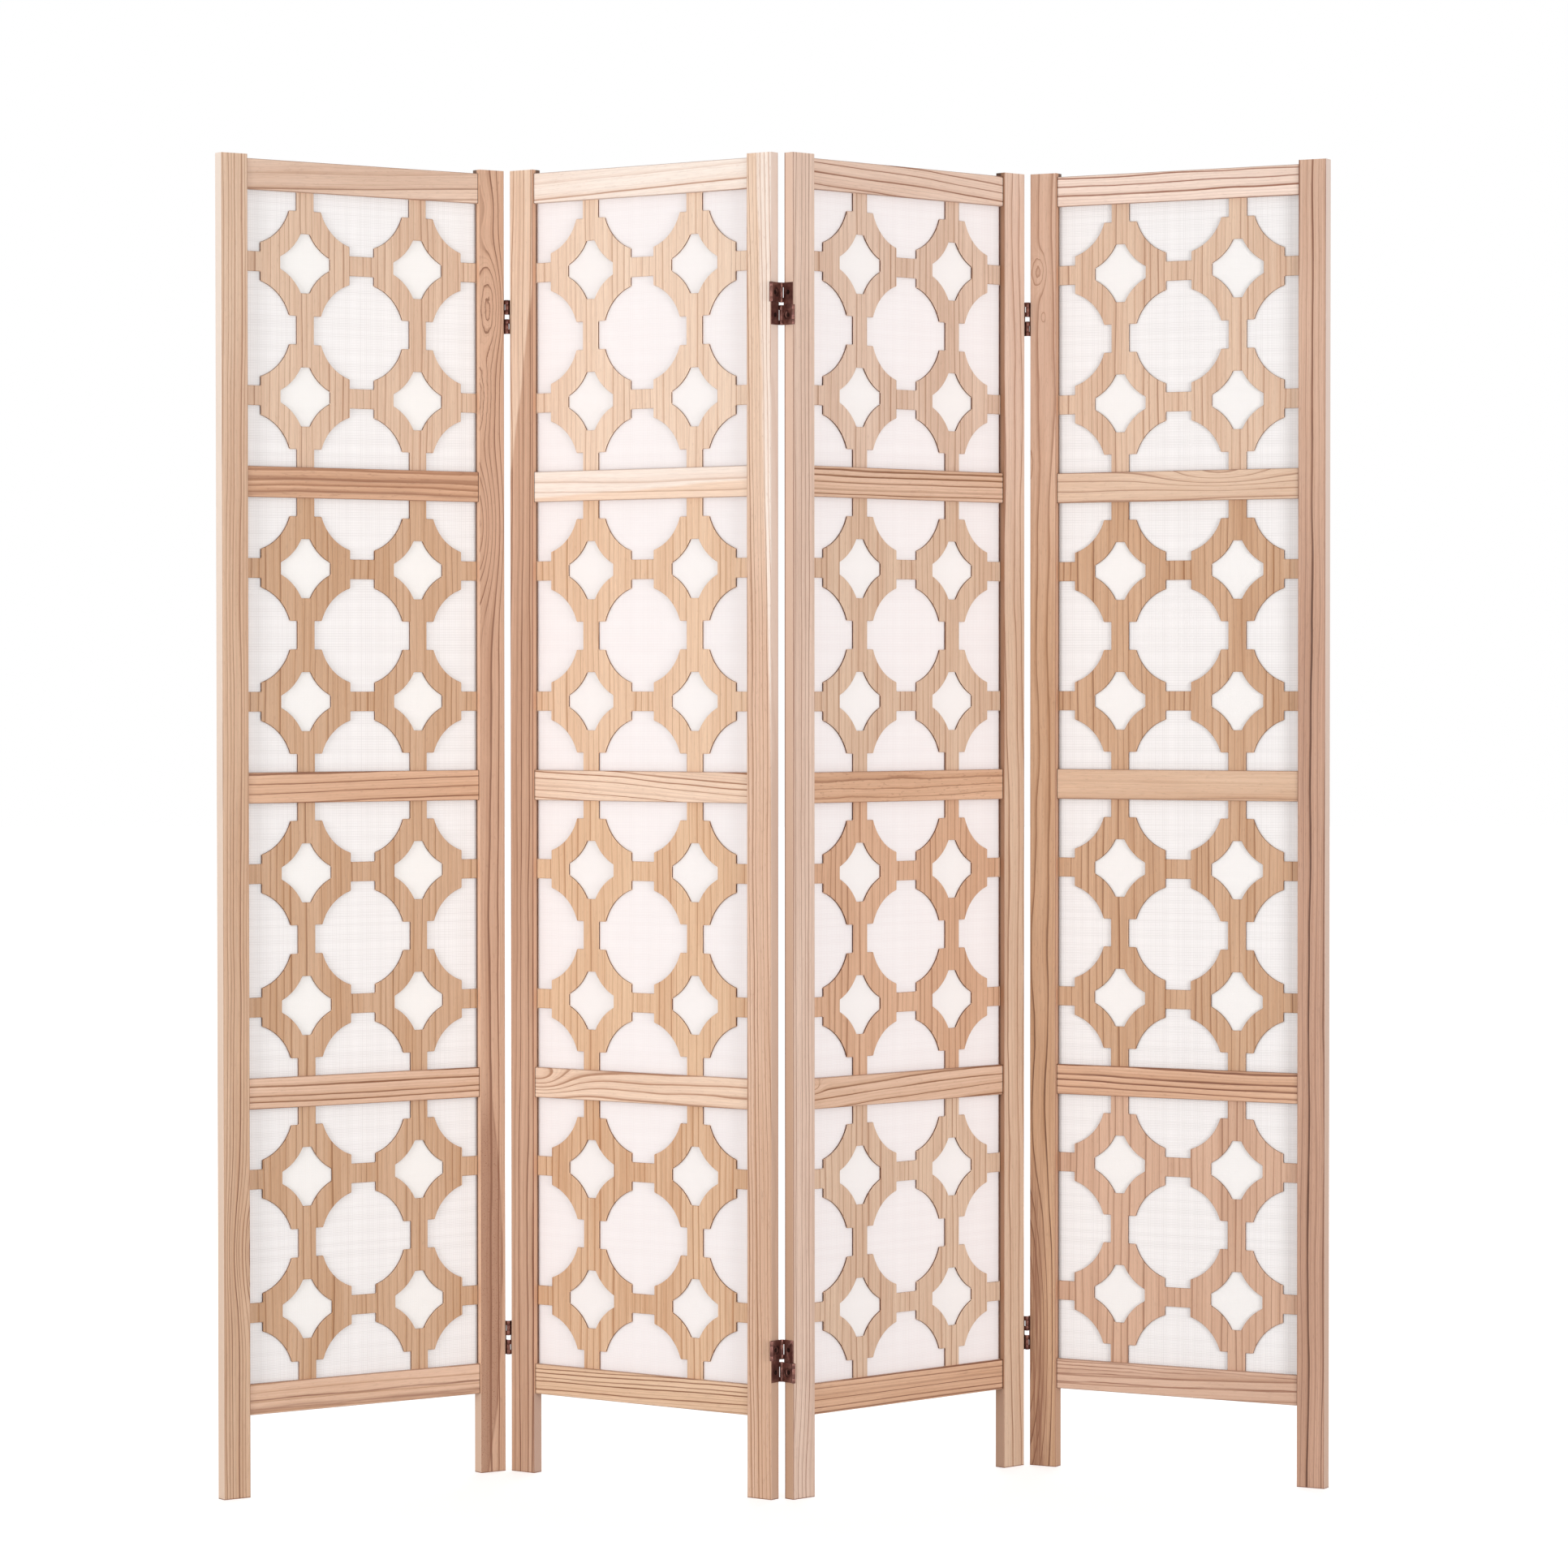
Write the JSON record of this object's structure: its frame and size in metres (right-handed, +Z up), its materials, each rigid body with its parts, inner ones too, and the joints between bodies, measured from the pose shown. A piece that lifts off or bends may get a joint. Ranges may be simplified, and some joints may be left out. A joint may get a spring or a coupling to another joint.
{
  "type": "folding screen",
  "caption": "Free-standing folding screen: narrow wooden frames with rails, round and hollow-sided fretwork over cloth panes, joined edge to edge by two-way crossed-link hinges.",
  "frame": {"origin": "on the floor, at the middle of the footprint's box", "axes": "+Z up the stiles, +X along the line of the screen, +Y from its front to its back"},
  "size_m": [1.4146, 0.3176, 1.7],
  "materials": {
    "stile_wood": "pale knotty wood under a thin satin varnish, grain up the stile",
    "rail_wood": "pale wood under a thin satin varnish, grain along the rail",
    "fret_wood": "thin honey-coloured board with dark cut edges",
    "dowel_wood": "plain turned dowel",
    "pane_cloth": "off-white close plain weave, stretched flat",
    "hinge_metal": "reddish-brown bronzed steel, satin",
    "screw_metal": "dark bronzed steel"
  },
  "bodies": {
    "panel_1": {"panel_1_left_stile": "stile_wood", "panel_1_right_stile": "stile_wood", "panel_1_top_rail": "rail_wood", "panel_1_upper_rail": "rail_wood", "panel_1_middle_rail": "rail_wood", "panel_1_lower_rail": "rail_wood", "panel_1_bottom_rail": "rail_wood", "panel_1_fretwork": "fret_wood", "panel_1_cloth": "pane_cloth", "panel_1_dowels": "dowel_wood", "panel_1_hinge_leaves": "hinge_metal", "panel_1_hinge_links": "hinge_metal", "panel_1_hinge_pins": "screw_metal", "panel_1_hinge_screws": "screw_metal"},
    "panel_2": {"panel_2_left_stile": "stile_wood", "panel_2_right_stile": "stile_wood", "panel_2_top_rail": "rail_wood", "panel_2_upper_rail": "rail_wood", "panel_2_middle_rail": "rail_wood", "panel_2_lower_rail": "rail_wood", "panel_2_bottom_rail": "rail_wood", "panel_2_fretwork": "fret_wood", "panel_2_cloth": "pane_cloth", "panel_2_dowels": "dowel_wood", "panel_2_hinge_leaves": "hinge_metal", "panel_2_hinge_links": "hinge_metal", "panel_2_hinge_pins": "screw_metal", "panel_2_hinge_screws": "screw_metal"},
    "panel_3": {"panel_3_left_stile": "stile_wood", "panel_3_right_stile": "stile_wood", "panel_3_top_rail": "rail_wood", "panel_3_upper_rail": "rail_wood", "panel_3_middle_rail": "rail_wood", "panel_3_lower_rail": "rail_wood", "panel_3_bottom_rail": "rail_wood", "panel_3_fretwork": "fret_wood", "panel_3_cloth": "pane_cloth", "panel_3_dowels": "dowel_wood", "panel_3_hinge_leaves": "hinge_metal", "panel_3_hinge_links": "hinge_metal", "panel_3_hinge_pins": "screw_metal", "panel_3_hinge_screws": "screw_metal"},
    "panel_4": {"panel_4_left_stile": "stile_wood", "panel_4_right_stile": "stile_wood", "panel_4_top_rail": "rail_wood", "panel_4_upper_rail": "rail_wood", "panel_4_middle_rail": "rail_wood", "panel_4_lower_rail": "rail_wood", "panel_4_bottom_rail": "rail_wood", "panel_4_fretwork": "fret_wood", "panel_4_cloth": "pane_cloth", "panel_4_dowels": "dowel_wood", "panel_4_hinge_leaves": "hinge_metal", "panel_4_hinge_links": "hinge_metal", "panel_4_hinge_pins": "screw_metal", "panel_4_hinge_screws": "screw_metal"}
  },
  "joints": [
    {"name": "fold_left", "type": "hinge", "parent": "panel_2", "child": "panel_1", "pos_m": [-0.35239, 0.09095, 0.85], "axis": [0, 0, 1], "range_deg": [-71, 109]},
    {"name": "fold_centre", "type": "hinge", "parent": "panel_2", "child": "panel_3", "pos_m": [0.00573, -0.13875, 0.85], "axis": [0, 0, 1], "range_deg": [-79, 100]},
    {"name": "fold_right", "type": "hinge", "parent": "panel_3", "child": "panel_4", "pos_m": [0.32936, 0.13743, 0.85], "axis": [0, 0, -1], "range_deg": [-72.5, 107.5]}
  ]
}
